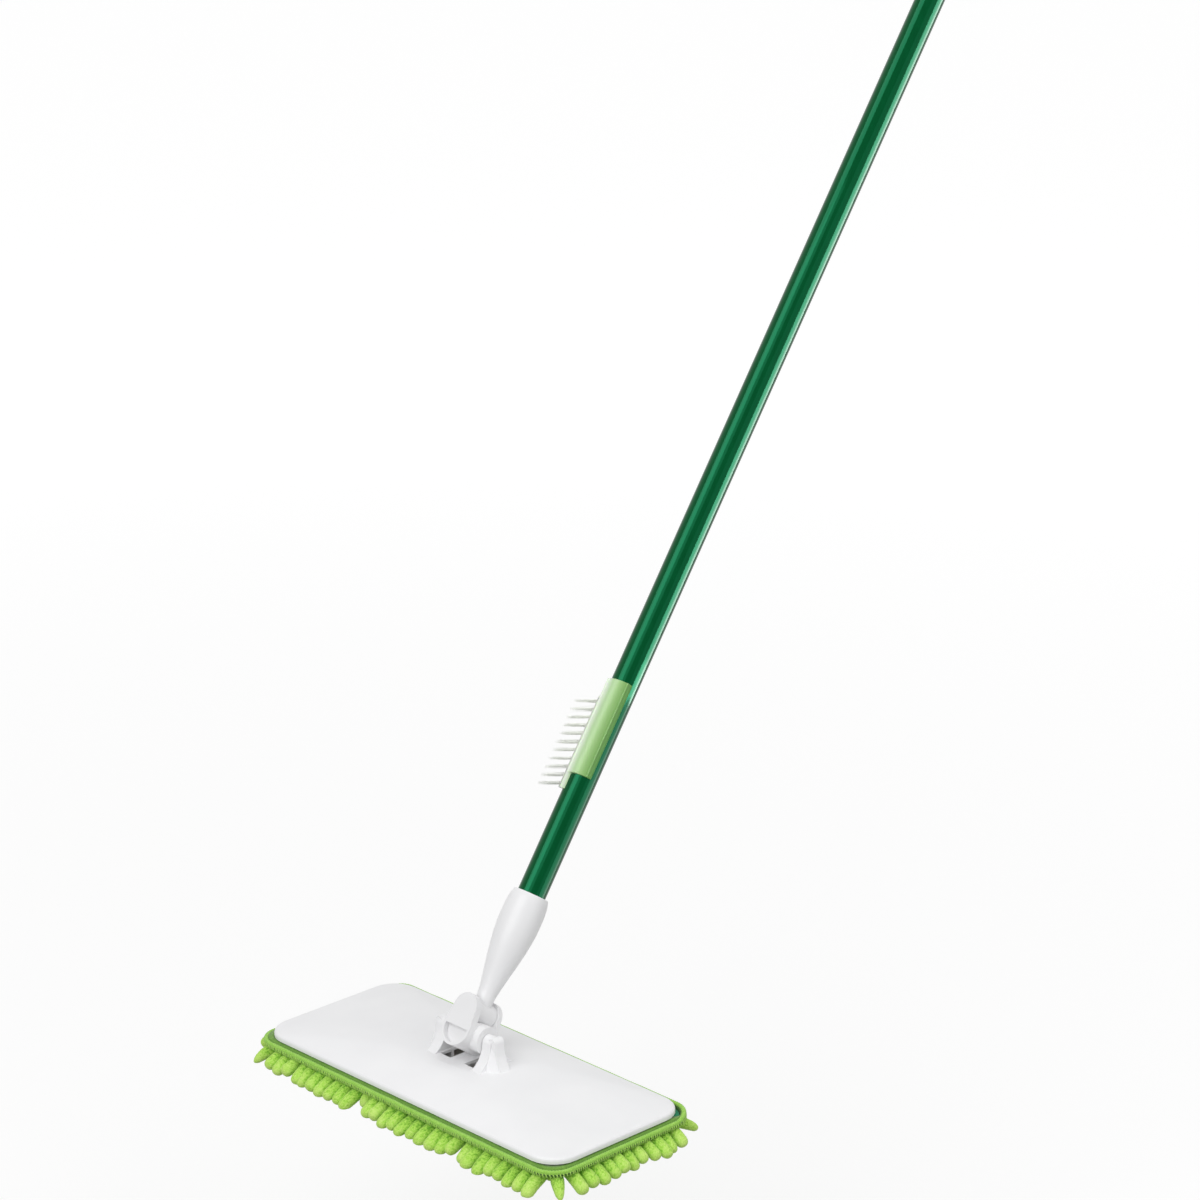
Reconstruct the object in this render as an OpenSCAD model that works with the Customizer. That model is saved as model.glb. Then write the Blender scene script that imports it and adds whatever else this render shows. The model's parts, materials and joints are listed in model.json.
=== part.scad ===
// Dust mop: a crowned head plate on a chenille pad, a two-axis swivel, and a steel handle with a
// clip-on brush. The origin is the middle of the pad on the floor. +X runs along the head, +Y is the
// way that the handle leans, and +Z is up. Lengths are in millimetres and angles in degrees.

/* [Head plate] */
// Length of the plate along X
plate_length = 322; // [250:2:420]
// Width of the plate along Y
plate_width = 136; // [116:2:180]
// Radius of the plate's corners
plate_corner = 22; // [18:1:32]
// Height of the plate's straight edge
plate_edge = 4.5; // [4:0.5:8]
// Radius of the round along the top of the edge
edge_round = 2.5; // [1.5:0.5:3]
// Rise of the crown above the edge
crown_rise = 8.4; // [5:0.2:14]
// Length of the flat top that carries the swivel
flat_length = 100; // [90:2:140]
// Width of the flat top that carries the swivel
flat_width = 42; // [38:1:60]
// Wall of the moulded plate
plate_wall = 2.4; // [1.6:0.2:2.8]
// Thickness of the ribs under the crown
rib_wall = 2; // [1.2:0.2:3]

/* [Swivel] */
// Height of the tilt axis above the crown
tilt_rise = 18.2; // [17.4:0.2:24]
// Distance from the tilt axis to the swing axis
fork_rise = 16.2; // [14:0.2:18]
// Diameter of the tilt trunnions
tilt_pin_d = 7; // [5.5:0.5:7.5]
// Diameter of the swing trunnions
swing_pin_d = 8; // [6:0.5:10]
// Width of the yoke along the tilt axis
yoke_width = 27.4; // [26:0.2:34]
// Diameter of the lobes at the top of the fork
lobe_d = 23; // [21:0.2:28]
// Thickness of the fork's front plate
front_plate = 6; // [5:0.2:7]
// Thickness of the fork's rear plate
rear_plate = 3.8; // [3.8:0.2:6]
// Diameter of the knuckle under the socket
knuckle_d = 19; // [15:0.2:19.4]
// Width of the knuckle between the fork's plates
knuckle_width = 20.4; // [17:0.2:22]
// Gap between the yoke and each pillar
pillar_gap = 6.3; // [3:0.1:8]
// Thickness of a pillar's ear
ear_thickness = 9; // [8:0.5:12]
// Radius of a pillar's round top
ear_round = 5.8; // [5.6:0.2:8]
// Half width of a pillar's foot along Y
foot_reach = 17; // [14:0.5:19]

/* [Handle] */
// Lean of the handle from upright
handle_lean = 34.5; // [0:0.5:50]
// Diameter of the steel tube
tube_d = 22.2; // [20:0.1:25]
// Wall of the steel tube
tube_wall = 0.8; // [0.6:0.1:1.4]
// Length of the steel tube
tube_length = 1219; // [900:1:1500]
// Distance from the tilt axis to the lower end of the tube
tube_start = 82; // [76:1:90]
// Diameter of the socket's neck
neck_d = 14; // [11:0.5:15]
// Diameter of the socket's belly
belly_d = 32.3; // [30:0.1:38]
// Distance from the tilt axis to the widest part of the socket
belly_height = 91.4; // [86:0.2:98]
// Diameter of the socket's rim
rim_d = 27; // [26:0.5:29]
// Distance from the tilt axis to the socket's rim
rim_height = 113; // [106:0.5:124]
// Diameter of the threaded nose that screws into the socket
nose_d = 16; // [13:0.5:16.5]
// Length of the threaded nose
nose_length = 26; // [18:1:28]
// Diameter of the hang hole in the end cap
hang_hole_d = 8; // [5:0.5:10]
// Thickness of the end cap's flat eye
eye_thickness = 12; // [8:0.5:16]

/* [Handle brush] */
// Distance from the tilt axis to the lower end of the brush clip
clip_start = 207; // [150:1:600]
// Length of the brush clip
clip_length = 77; // [72:1:120]
// Thickness of the clip at its back
clip_back = 2.6; // [2.2:0.1:5]
// Thickness of the clip at its lips
clip_lip = 1.5; // [1.2:0.1:2.2]
// Angle from the middle of the clip's back to each lip
clip_wrap = 115; // [100:1:130]
// Slant of the clip's ends
clip_slant = 9; // [0:1:12]
// Turn of the brush about the handle
brush_turn = 222; // [0:1:359]
// Length of the bristles
bristle_length = 17; // [10:0.5:25]
// Distance that the lowest tufts stand below the clip's lower end
brush_drop = 8.6; // [0:0.2:10]
// Thickness of a bristle
bristle_d = 0.7; // [0.5:0.05:0.8]
// Sweep of the bristles towards the head
bristle_sweep = 24; // [0:1:30]
// Distance between the rows of tufts
tuft_pitch = 6.8; // [5:0.1:7]

/* [Pad] */
// Height of the chenille bed under the pad
bed_height = 12; // [10:0.5:14]
// Thickness of the chenille's base cloth
cloth_thickness = 1.6; // [1:0.1:3]
// Thickness of the sponge in the pad
sponge_thickness = 3; // [2:0.5:10]
// Thickness of the backing fabric
backing_thickness = 1.6; // [1:0.1:3]
// Thickness of the closed hook-and-loop strips
hook_thickness = 1.8; // [1:0.1:3]
// Width of a hook strip
hook_width = 24; // [12:1:28]
// Width of the binding round the pad's edge
binding_width = 4.4; // [3:0.2:6]
// Height of the binding beside the plate's edge
binding_lap = 0.2; // [0:0.2:3.6]
// Radius of the pad's corners
pad_corner = 15; // [12:0.5:18]
// Diameter of a chenille finger
finger_d = 9.6; // [7:0.2:9.8]
// Distance between neighbouring fingers
finger_pitch = 10.2; // [10:0.1:14]
// Length of the fingers along the long sides
side_finger_length = 20.5; // [18:0.5:30]
// Length of the fingers along the ends
end_finger_length = 19.5; // [18:0.5:30]

/* [Hidden] */
$fn = 64;

// Clearances: a soft or loose seat, a turning or sliding fit, and a turning part beside a flat face
seat_gap = 0.3;
run_gap = 0.05;
side_gap = 0.4;
// How far a cut runs past the face that it opens
overrun = 2;

// Levels of the pad's layers and of the plate above them
cloth_top = bed_height + cloth_thickness;
sponge_top = cloth_top + sponge_thickness;
backing_top = sponge_top + backing_thickness;
plate_z = backing_top + hook_thickness;
base_thickness = plate_edge - plate_wall - seat_gap;
base_top = plate_z + base_thickness;
edge_top = plate_z + plate_edge;
crown_top = edge_top + crown_rise;
tilt_z = crown_top + tilt_rise;

// Plate: half sizes, the rings that its crown is lofted through, and its ribs
plate_x = plate_length/2;
plate_y = plate_width/2;
ring_slab = 0.1;
ring_steps = 7;
round_angles = [0, 30, 60, 90];
crown_shares = [0.2, 0.4, 0.6, 0.8, 1];
crown_power = 1.5;
flat_corner = 16;
rib_count_x = 7;
rib_count_y = 3;

// Windows in the crown beside the bridge under the yoke
bridge_width = 15.2;
window_width = 25.2;
window_margin = 1;

// Pillars: an ear with a flared outline and an outer gusset, and a tapered post and a flared foot between
// them
pillar_x = yoke_width/2 + pillar_gap;
ear_outer = pillar_x + ear_thickness;
foot_z = crown_top - plate_wall/2;
foot_flare = 10;
gusset_thickness = 9;
gusset_round = 3.8;
gusset_reach = 10;
post_inset = 2.1;
post_foot_r = 11.6;
post_top_r = 4.4;
gusset_z = tilt_z + ear_round - gusset_round;
pin_depth = 7.5;
pin_end_gap = 0.5;

// Yoke: half depth inside the fork, its front and rear faces, the swept limit below and the cored pocket
fork_inner = knuckle_width/2 + side_gap;
fork_front = fork_inner + front_plate;
fork_rear = fork_inner + rear_plate;
yoke_r = yoke_width/2;
lobe_r = lobe_d/2;
sweep_r = tilt_rise - 2*side_gap;
saddle_gap = 0.5;
saddle_lip = 3.3;
core_top = fork_rise - knuckle_d/2 - saddle_gap + saddle_lip;
swing_depth = 2.4;
pocket_wall = 2.2;
pocket_top = 1.2;
pocket_depth = 4.5;
boss_wall = 7.2;

// Socket: bore sizes and the two curved spans of its outline
tube_r = tube_d/2;
tube_inner_r = tube_r - tube_wall;
neck_r = neck_d/2;
belly_r = belly_d/2;
rim_r = rim_d/2;
neck_height = 27;
neck_curve_share = 0.2;
belly_curve_share = 0.36;
shoulder_curve_share = 0.55;
rim_curve_share = 0.8;
span_steps = 12;

// Tip, tube and end cap
tip_shank = 35;
cap_plug = 25;
cap_band = 5;
cap_shoulder = 12;
tube_end = tube_start + tube_length;
hang_height = tube_end + cap_shoulder;

// Brush: the clip's outer circle is set off towards its back, and the tufts stand on a strip there
clip_r = tube_r + run_gap;
lip_r = clip_r + clip_lip;
back_r = clip_r + clip_back;
clip_shift = (back_r*back_r - lip_r*lip_r)/(2*(back_r - lip_r*cos(clip_wrap)));
clip_outer_r = back_r - clip_shift;
bead_r = 1;
bead_turn = 100;
bead_sink = 0.2;
tuft_strip_width = 11;
tuft_strip_thickness = 0.8;
tuft_margin = 3.4;
tuft_rows = 11;
tuft_columns = 4;
tuft_spread = 2.5;
strand_pitch = 0.9;
strand_rows = [-0.5, 0.5];
strand_columns = [-1.5, -0.5, 0.5, 1.5];
strand_fan = 5;
strip_length = (tuft_rows - 1)*tuft_pitch + 2*tuft_margin;
tuft_root = back_r + tuft_strip_thickness/2;
tongue_length = brush_drop + tuft_margin;

// Pad: half sizes of its layers, the binding and the strip that the border fingers grow from
pad_x = plate_x + seat_gap;
pad_y = plate_y + seat_gap;
border_width = 9;
row_count = 11;
row_r = bed_height/2;
floor_cut = 0.5;
hook_end_margin = 16;
hook_strip_length = plate_length - 2*plate_wall - 2*hook_end_margin;
hook_spacing = (plate_width - 2*plate_wall - 2*hook_width)/2;

// Border fingers: where they are sewn, how they swell and vary, and the droop that sets their tips on the
// floor
root_inset = 5;
root_share = 0.5;
root_drop = 0.8;
tip_drop = bed_height - root_drop - finger_d/2;
side_droop = asin(tip_drop/(side_finger_length - finger_d/2));
end_droop = asin(tip_drop/(end_finger_length - finger_d/2));
swell_share = 0.45;
tip_steps = 5;
yaw_sway = 1.6;
length_sway_share = 0.06;
sway_step = 137.5;

// Rounded rectangle with true arcs
module rounded_outline(half_x, half_y, r) {
    square([2*half_x, 2*(half_y - r)], center = true);
    square([2*(half_x - r), 2*half_y], center = true);
    for (sx = [-1, 1], sy = [-1, 1])
        translate([sx*(half_x - r), sy*(half_y - r)])
            circle(r);
}

// A layer of the given outline, standing on z
module layer(half_x, half_y, r, z, thickness) {
    translate([0, 0, z])
        linear_extrude(thickness)
            rounded_outline(half_x, half_y, r);
}

// Everything on the handle is drawn with +Z along the handle, from the tilt axis
module on_handle() {
    translate([0, 0, tilt_z])
        rotate([-handle_lean, 0, 0])
            children();
}

// Radius of an arc that leaves a wall upright and reaches out by dx over the drop dz
function flare_radius(dx, dz) = (dx*dx + dz*dz)/(2*dx);

function cubic(a, b, c, d, t) =
    a*pow(1 - t, 3) + 3*b*pow(1 - t, 2)*t + 3*c*(1 - t)*pow(t, 2) + d*pow(t, 3);

// Head plate

function ring_points(half_x, half_y, r) = [
    for (corner = [0:3], k = [0:ring_steps])
        let (turn = 90*corner + 90*k/ring_steps)
        let (sx = (corner == 0 || corner == 3) ? 1 : -1)
        let (sy = corner < 2 ? 1 : -1)
        [sx*(half_x - r) + r*cos(turn), sy*(half_y - r) + r*sin(turn)]
];

module plate_ring(half_x, half_y, r, z) {
    translate([0, 0, z])
        linear_extrude(ring_slab)
            polygon(ring_points(half_x, half_y, r));
}

// The crowned form of the plate, drawn in by inset on all sides and lowered by it on top
module crowned_form(inset, bottom) {
    x = plate_x - inset;
    y = plate_y - inset;
    r = plate_corner - inset;
    lip = edge_top - edge_round - inset;
    hull() {
        plate_ring(x, y, r, bottom);
        for (a = round_angles)
            let (in = edge_round*(1 - cos(a)))
            plate_ring(x - in, y - in, r - in, lip + edge_round*sin(a) - ring_slab);
        for (s = crown_shares)
            let (in_x = edge_round + s*(x - edge_round - flat_length/2))
            let (in_y = edge_round + s*(y - edge_round - flat_width/2))
            let (rise = crown_rise*(1 - pow(1 - s, crown_power)))
            let (corner = (1 - s)*(r - edge_round) + s*flat_corner)
            plate_ring(x - in_x, y - in_y, corner, edge_top - inset + rise - ring_slab);
    }
}

module ribs() {
    height = crown_top - base_top;
    for (k = [1:rib_count_x])
        translate([plate_length*(k/(rib_count_x + 1) - 1/2) - rib_wall/2, -plate_y, base_top])
            cube([rib_wall, plate_width, height]);
    for (k = [1:rib_count_y])
        translate([-plate_x, plate_width*(k/(rib_count_y + 1) - 1/2) - rib_wall/2, base_top])
            cube([plate_length, rib_wall, height]);
}

// Outline of an ear, seen along X: a round top on flared sides
module ear_outline() {
    reach = foot_reach - ear_round;
    flare = flare_radius(reach, tilt_rise);
    translate([0, tilt_z])
        circle(ear_round);
    difference() {
        translate([-foot_reach, foot_z])
            square([2*foot_reach, tilt_z - foot_z]);
        for (s = [-1, 1])
            translate([s*(ear_round + flare), tilt_z])
                circle(flare);
    }
}

// Outline of the outer gusset, seen along Y
module gusset_outline() {
    reach = gusset_reach - gusset_round;
    flare = flare_radius(reach, gusset_z - crown_top);
    translate([ear_outer, gusset_z])
        circle(gusset_round);
    difference() {
        translate([ear_outer - ear_thickness/2, foot_z])
            square([ear_thickness/2 + gusset_reach, gusset_z - foot_z]);
        translate([ear_outer + gusset_round + flare, gusset_z])
            circle(flare);
    }
}

module pillar() {
    sink = crown_top - foot_z;
    translate([pillar_x, 0, 0])
        rotate([90, 0, 90])
            linear_extrude(ear_thickness)
                ear_outline();
    translate([0, gusset_thickness/2, 0])
        rotate([90, 0, 0])
            linear_extrude(gusset_thickness)
                gusset_outline();
    intersection() {
        translate([ear_outer - post_inset, 0, foot_z])
            cylinder(h = tilt_z - foot_z, r1 = post_foot_r, r2 = post_top_r);
        translate([pillar_x, -foot_reach, foot_z])
            cube([2*foot_reach, 2*foot_reach, tilt_z - foot_z]);
    }
    translate([pillar_x, 0, foot_z])
        rotate([0, 0, -90])
            rotate_extrude(angle = 180)
                difference() {
                    square([foot_reach, foot_flare + sink]);
                    translate([foot_reach, foot_flare + sink])
                        circle(foot_flare);
                }
}

module head_plate() {
    window_x = pillar_x - window_margin - bridge_width/2;
    color([0.93, 0.93, 0.94])
        difference() {
            union() {
                crowned_form(0, plate_z);
                for (side = [0, 1])
                    mirror([side, 0, 0])
                        pillar();
            }
            difference() {
                crowned_form(plate_wall, plate_z - overrun);
                ribs();
            }
            for (side = [0, 1])
                mirror([side, 0, 0]) {
                    translate([bridge_width/2, -window_width/2, base_top])
                        cube([window_x, window_width, crown_top - base_top + overrun]);
                    translate([pillar_x - overrun, 0, tilt_z])
                        rotate([0, 90, 0])
                            cylinder(h = pin_depth + overrun, d = tilt_pin_d + 2*run_gap);
                }
        }
}

module base_panel() {
    inset = plate_wall + edge_round + seat_gap;
    color([0.88, 0.88, 0.87])
        layer(plate_x - inset, plate_y - inset, plate_corner - inset, plate_z, base_thickness);
}

module hook_strip(place) {
    color([0.15, 0.16, 0.16])
        translate([-hook_strip_length/2, place*hook_spacing - hook_width/2, backing_top])
            cube([hook_strip_length, hook_width, hook_thickness]);
}

module front_hook_strip() { hook_strip(-1); }

module middle_hook_strip() { hook_strip(0); }

module rear_hook_strip() { hook_strip(1); }

// Pad

module pad_backing() {
    color([0.05, 0.47, 0.28])
        layer(pad_x, pad_y, pad_corner, sponge_top, backing_thickness);
}

module pad_sponge() {
    color([0.86, 0.87, 0.8])
        layer(pad_x, pad_y, pad_corner, cloth_top, sponge_thickness);
}

// Cross section of the binding: a flat band with round edges
module binding_section() {
    r = binding_width/2;
    height = plate_z + binding_lap - cloth_top;
    translate([0, cloth_top + r])
        circle(r);
    translate([0, cloth_top + height - r])
        circle(r);
    translate([-r, cloth_top + r])
        square([binding_width, height - binding_width]);
}

// The binding is that section swept round the pad: four straight runs and four corners
module pad_binding() {
    corner = pad_corner + seat_gap + binding_width/2;
    run_x = 2*(pad_x - pad_corner);
    run_y = 2*(pad_y - pad_corner);
    color([0.5, 0.76, 0.25]) {
        for (side = [-1, 1]) {
            translate([-run_x/2, side*(run_y/2 + corner), 0])
                rotate([90, 0, 90])
                    linear_extrude(run_x)
                        binding_section();
            translate([side*(run_x/2 + corner), run_y/2, 0])
                rotate([90, 0, 0])
                    linear_extrude(run_y)
                        binding_section();
        }
        for (turn = [0:3])
            let (sx = (turn == 0 || turn == 3) ? 1 : -1)
            let (sy = turn < 2 ? 1 : -1)
            translate([sx*run_x/2, sy*run_y/2, 0])
                rotate([0, 0, 90*turn])
                    rotate_extrude(angle = 90)
                        translate([corner, 0])
                            binding_section();
    }
}

// The bed under the pad: the base cloth and the rows of short chenille that the head rests on
module chenille_bed() {
    inset = border_width + seat_gap;
    x = pad_x - inset;
    y = pad_y - inset;
    pitch = 2*(y - row_r)/(row_count - 1);
    color([0.53, 0.8, 0.22])
        intersection() {
            layer(x, y, pad_corner - inset, 0, cloth_top);
            translate([-x, 0, 0])
                rotate([90, 0, 90])
                    linear_extrude(2*x)
                        union() {
                            translate([-y, bed_height - cloth_thickness])
                                square([2*y, 2*cloth_thickness]);
                            for (k = [0:row_count - 1])
                                translate([(k - (row_count - 1)/2)*pitch, row_r - floor_cut])
                                    circle(row_r);
                        }
        }
}

// One finger, along +Z: drawn in where it is sewn, full in the middle and round at its tip
module finger(length) {
    r = finger_d/2;
    swell = swell_share*length;
    rotate_extrude()
        polygon(concat(
            [[0, 0], [root_share*r, 0], [r, swell]],
            [for (k = [0:tip_steps])
                let (a = 90*k/tip_steps)
                [r*cos(a), length - r + r*sin(a)]]
        ));
}

// The border fingers of one side, drawn along X at y = -half_y, with half of each corner, and the slice
// of base cloth that they are sewn to
module border(half_x, half_y, length, droop) {
    r = pad_corner - root_inset;
    straight = 2*(half_x - pad_corner);
    run = straight + PI*r/2;
    count = round(run/finger_pitch);
    far = pad_corner + length;
    cut_x = half_x - pad_corner;
    cut_y = half_y - pad_corner;
    difference() {
        union() {
            for (k = [0:count - 1])
                let (s = run*((k + 0.5)/count - 0.5))
                let (past = max(0, abs(s) - straight/2))
                let (turn = sign(s)*past/r*180/PI)
                let (x = sign(s)*(min(abs(s), straight/2) + r*sin(abs(turn))))
                let (y = -(cut_y + r*cos(turn)))
                let (wave = sin(k*sway_step))
                translate([x, y, bed_height - root_drop])
                    rotate([0, 0, turn + yaw_sway*wave])
                        rotate([90 + droop, 0, 0])
                            finger(length*(1 + length_sway_share*cos(k*sway_step)));
            translate([0, 0, bed_height])
                linear_extrude(cloth_thickness)
                    intersection() {
                        difference() {
                            rounded_outline(half_x, half_y, pad_corner);
                            rounded_outline(half_x - border_width, half_y - border_width,
                                pad_corner - border_width);
                        }
                        polygon([
                            [-cut_x, -cut_y], [cut_x, -cut_y],
                            [cut_x + far, -cut_y - far], [-cut_x - far, -cut_y - far]
                        ]);
                    }
        }
        translate([-half_x - far, -half_y - far, -far])
            cube([2*(half_x + far), 2*(half_y + far), far]);
    }
}

module front_fingers() {
    color([0.55, 0.82, 0.24])
        border(pad_x, pad_y, side_finger_length, side_droop);
}

module rear_fingers() {
    color([0.55, 0.82, 0.24])
        rotate([0, 0, 180])
            border(pad_x, pad_y, side_finger_length, side_droop);
}

module right_fingers() {
    color([0.55, 0.82, 0.24])
        rotate([0, 0, 90])
            border(pad_y, pad_x, end_finger_length, end_droop);
}

module left_fingers() {
    color([0.55, 0.82, 0.24])
        rotate([0, 0, -90])
            border(pad_y, pad_x, end_finger_length, end_droop);
}

// Swivel

// Outline of the yoke, seen along the swing axis: the lobe on the wider round of the tilt barrel
module yoke_outline() {
    lean = asin((yoke_r - lobe_r)/fork_rise);
    circle(yoke_r);
    translate([0, fork_rise])
        circle(lobe_r);
    polygon([
        [-yoke_r*cos(lean), yoke_r*sin(lean)],
        [yoke_r*cos(lean), yoke_r*sin(lean)],
        [lobe_r*cos(lean), fork_rise + lobe_r*sin(lean)],
        [-lobe_r*cos(lean), fork_rise + lobe_r*sin(lean)]
    ]);
}

// Cored pocket in the front face, below the tilt axis
module pocket_outline() {
    r = yoke_r - pocket_wall;
    intersection() {
        circle(r);
        translate([-r, -r])
            square([2*r, r + pocket_top]);
    }
}

module swivel_yoke() {
    boss_r = tilt_pin_d/2 + boss_wall;
    boss_length = 2*(pillar_x - side_gap);
    pin_length = 2*(pillar_x + pin_depth - pin_end_gap);
    depth = fork_front + fork_rear;
    color([0.92, 0.92, 0.92])
        on_handle()
            difference() {
                union() {
                    difference() {
                        translate([0, fork_rear, 0])
                            rotate([90, 0, 0])
                                linear_extrude(depth)
                                    yoke_outline();
                        translate([-yoke_width, -fork_inner, core_top])
                            cube([2*yoke_width, 2*fork_inner, fork_rise + lobe_d]);
                        difference() {
                            translate([-yoke_width, -fork_inner, -yoke_width])
                                cube([2*yoke_width, fork_inner + fork_rear + overrun, yoke_width]);
                            rotate([0, 90, 0])
                                cylinder(r = sweep_r, h = 3*yoke_width, center = true);
                        }
                    }
                    rotate([0, 90, 0])
                        cylinder(r = boss_r, h = boss_length, center = true);
                    rotate([0, 90, 0])
                        cylinder(d = tilt_pin_d, h = pin_length, center = true);
                }
                translate([0, 0, fork_rise])
                    rotate([90, 0, 0]) {
                        cylinder(r = knuckle_d/2 + saddle_gap, h = 2*fork_inner, center = true);
                        cylinder(d = swing_pin_d + 2*run_gap, h = 2*(fork_inner + swing_depth),
                            center = true);
                    }
                translate([0, -fork_front + pocket_depth, 0])
                    rotate([90, 0, 0])
                        linear_extrude(pocket_depth + overrun)
                            pocket_outline();
            }
}

// Handle

// Half outline of the socket: the neck swells into the belly, and the shoulder rounds in to the rim
function socket_points() = concat(
    [[0, fork_rise], [neck_r, fork_rise]],
    [for (k = [0:span_steps])
        let (t = k/span_steps)
        let (rise = belly_height - neck_height)
        [cubic(neck_r, neck_r, belly_r, belly_r, t),
         cubic(neck_height, neck_height + neck_curve_share*rise,
             belly_height - belly_curve_share*rise, belly_height, t)]],
    [for (k = [1:span_steps])
        let (t = k/span_steps)
        let (rise = rim_height - belly_height)
        let (shoulder_r = rim_curve_share*belly_r + (1 - rim_curve_share)*rim_r)
        [cubic(belly_r, belly_r, shoulder_r, rim_r, t),
         cubic(belly_height, belly_height + shoulder_curve_share*rise,
             belly_height + rim_curve_share*rise, rim_height, t)]],
    [[0, rim_height]]
);

module handle_socket() {
    pin_length = knuckle_width + 2*(side_gap + swing_depth - pin_end_gap);
    color([0.9, 0.9, 0.91])
        on_handle()
            difference() {
                union() {
                    rotate_extrude()
                        polygon(socket_points());
                    translate([0, 0, fork_rise])
                        rotate([90, 0, 0]) {
                            cylinder(d = knuckle_d, h = knuckle_width, center = true);
                            cylinder(d = swing_pin_d, h = pin_length, center = true);
                        }
                }
                translate([0, 0, tube_start])
                    cylinder(r = tube_r + run_gap, h = rim_height - tube_start + overrun);
                translate([0, 0, tube_start - nose_length - seat_gap])
                    cylinder(d = nose_d + 2*run_gap, h = nose_length + seat_gap + overrun);
            }
}

module threaded_tip() {
    color([0.2, 0.21, 0.2])
        on_handle() {
            translate([0, 0, tube_start - nose_length])
                cylinder(d = nose_d, h = nose_length + tip_shank/2);
            translate([0, 0, tube_start])
                cylinder(r = tube_inner_r - run_gap, h = tip_shank);
        }
}

module handle_tube() {
    color([0, 0.3, 0.16])
        on_handle()
            translate([0, 0, tube_start])
                difference() {
                    cylinder(r = tube_r, h = tube_length);
                    translate([0, 0, -overrun])
                        cylinder(r = tube_inner_r, h = tube_length + 2*overrun);
                }
}

// The end cap: a plug, a band flush with the tube and a domed eye with flat sides and a hang hole
module end_cap() {
    color([0.1, 0.11, 0.1])
        on_handle()
            difference() {
                union() {
                    translate([0, 0, tube_end - cap_plug])
                        cylinder(r = tube_inner_r - run_gap, h = cap_plug + cap_band/2);
                    translate([0, 0, tube_end])
                        cylinder(r = tube_r, h = cap_band);
                    intersection() {
                        translate([0, 0, tube_end])
                            rotate_extrude()
                                intersection() {
                                    union() {
                                        square([tube_r, cap_shoulder]);
                                        translate([0, cap_shoulder])
                                            circle(tube_r);
                                    }
                                    square([tube_d, cap_shoulder + tube_d]);
                                }
                        translate([-tube_d, -eye_thickness/2, tube_end])
                            cube([2*tube_d, eye_thickness, cap_shoulder + tube_d]);
                    }
                }
                translate([0, 0, hang_height])
                    rotate([90, 0, 0])
                        cylinder(d = hang_hole_d, h = tube_d, center = true);
            }
}

// Handle brush, with +X towards the bristles

module on_brush() {
    on_handle()
        translate([0, 0, clip_start])
            rotate([0, 0, brush_turn])
                children();
}

// Distance from the tube's axis to the clip's outer face, at an angle from the middle of its back
function clip_face(a) = clip_shift*cos(a) + sqrt(pow(clip_outer_r, 2) - pow(clip_shift*sin(a), 2));

// Cross section of the clip: thick at its back, thinner towards two round lips, with a bead beside each
module clip_section() {
    lip_mid_r = clip_r + clip_lip/2;
    far = 2*back_r;
    difference() {
        union() {
            translate([clip_shift, 0])
                circle(clip_outer_r);
            translate([0, -tuft_strip_width/2])
                square([back_r, tuft_strip_width]);
        }
        circle(clip_r);
        polygon([
            [0, 0], far*[cos(clip_wrap), sin(clip_wrap)], [-far, far],
            [-far, -far], far*[cos(clip_wrap), -sin(clip_wrap)]
        ]);
    }
    for (side = [-1, 1])
        translate(lip_mid_r*[cos(clip_wrap), side*sin(clip_wrap)])
            circle(clip_lip/2);
    for (side = [-1, 1])
        translate((clip_face(bead_turn) - bead_sink)*[cos(bead_turn), side*sin(bead_turn)])
            circle(bead_r);
}

// Cross section of the tongue that carries the tufts past the clip's lower end
module tongue_section() {
    intersection() {
        clip_section();
        translate([0, -tuft_strip_width/2])
            square([back_r, tuft_strip_width]);
    }
}

module brush_clip() {
    slack = back_r*tan(clip_slant);
    color([0.6, 0.78, 0.45])
        on_brush() {
            translate([0, 0, -tongue_length])
                linear_extrude(2*tongue_length)
                    tongue_section();
            intersection() {
                translate([0, 0, -slack])
                    linear_extrude(clip_length + 2*slack)
                        clip_section();
                rotate([clip_slant, 0, 0])
                    translate([-2*back_r, -2*back_r, 0])
                        cube([4*back_r, 4*back_r, clip_length*cos(clip_slant)]);
            }
        }
}

// The bristles: tufts in rows on a strip along the clip's back, each a small block of three-sided strands
module brush_bristles() {
    color([0.93, 0.96, 0.9])
        on_brush() {
            translate([back_r, -tuft_strip_width/2, -tongue_length])
                cube([tuft_strip_thickness, tuft_strip_width, strip_length]);
            for (row = [0:tuft_rows - 1], column = [0:tuft_columns - 1])
                let (tuft_y = (column - (tuft_columns - 1)/2)*tuft_spread)
                let (tuft_z = row*tuft_pitch - brush_drop)
                for (i = strand_rows, j = strand_columns)
                    translate([tuft_root, tuft_y + i*strand_pitch, tuft_z + j*strand_pitch])
                        rotate([0, 0, strand_fan*(column - (tuft_columns - 1)/2 + i/2)])
                            rotate([0, 90 + bristle_sweep - strand_fan*j/2, 0])
                                cylinder(d = bristle_d, h = bristle_length, $fn = 3);
        }
}

head_plate();
base_panel();
front_hook_strip();
middle_hook_strip();
rear_hook_strip();
pad_backing();
pad_sponge();
pad_binding();
chenille_bed();
front_fingers();
rear_fingers();
left_fingers();
right_fingers();
swivel_yoke();
handle_socket();
threaded_tip();
handle_tube();
end_cap();
brush_clip();
brush_bristles();
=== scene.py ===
"""Looks of the dust mop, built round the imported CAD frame: pad, brush, materials, light and camera."""

import json
import math

import bpy
import numpy as np
from mathutils import Matrix, Vector, noise


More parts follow.
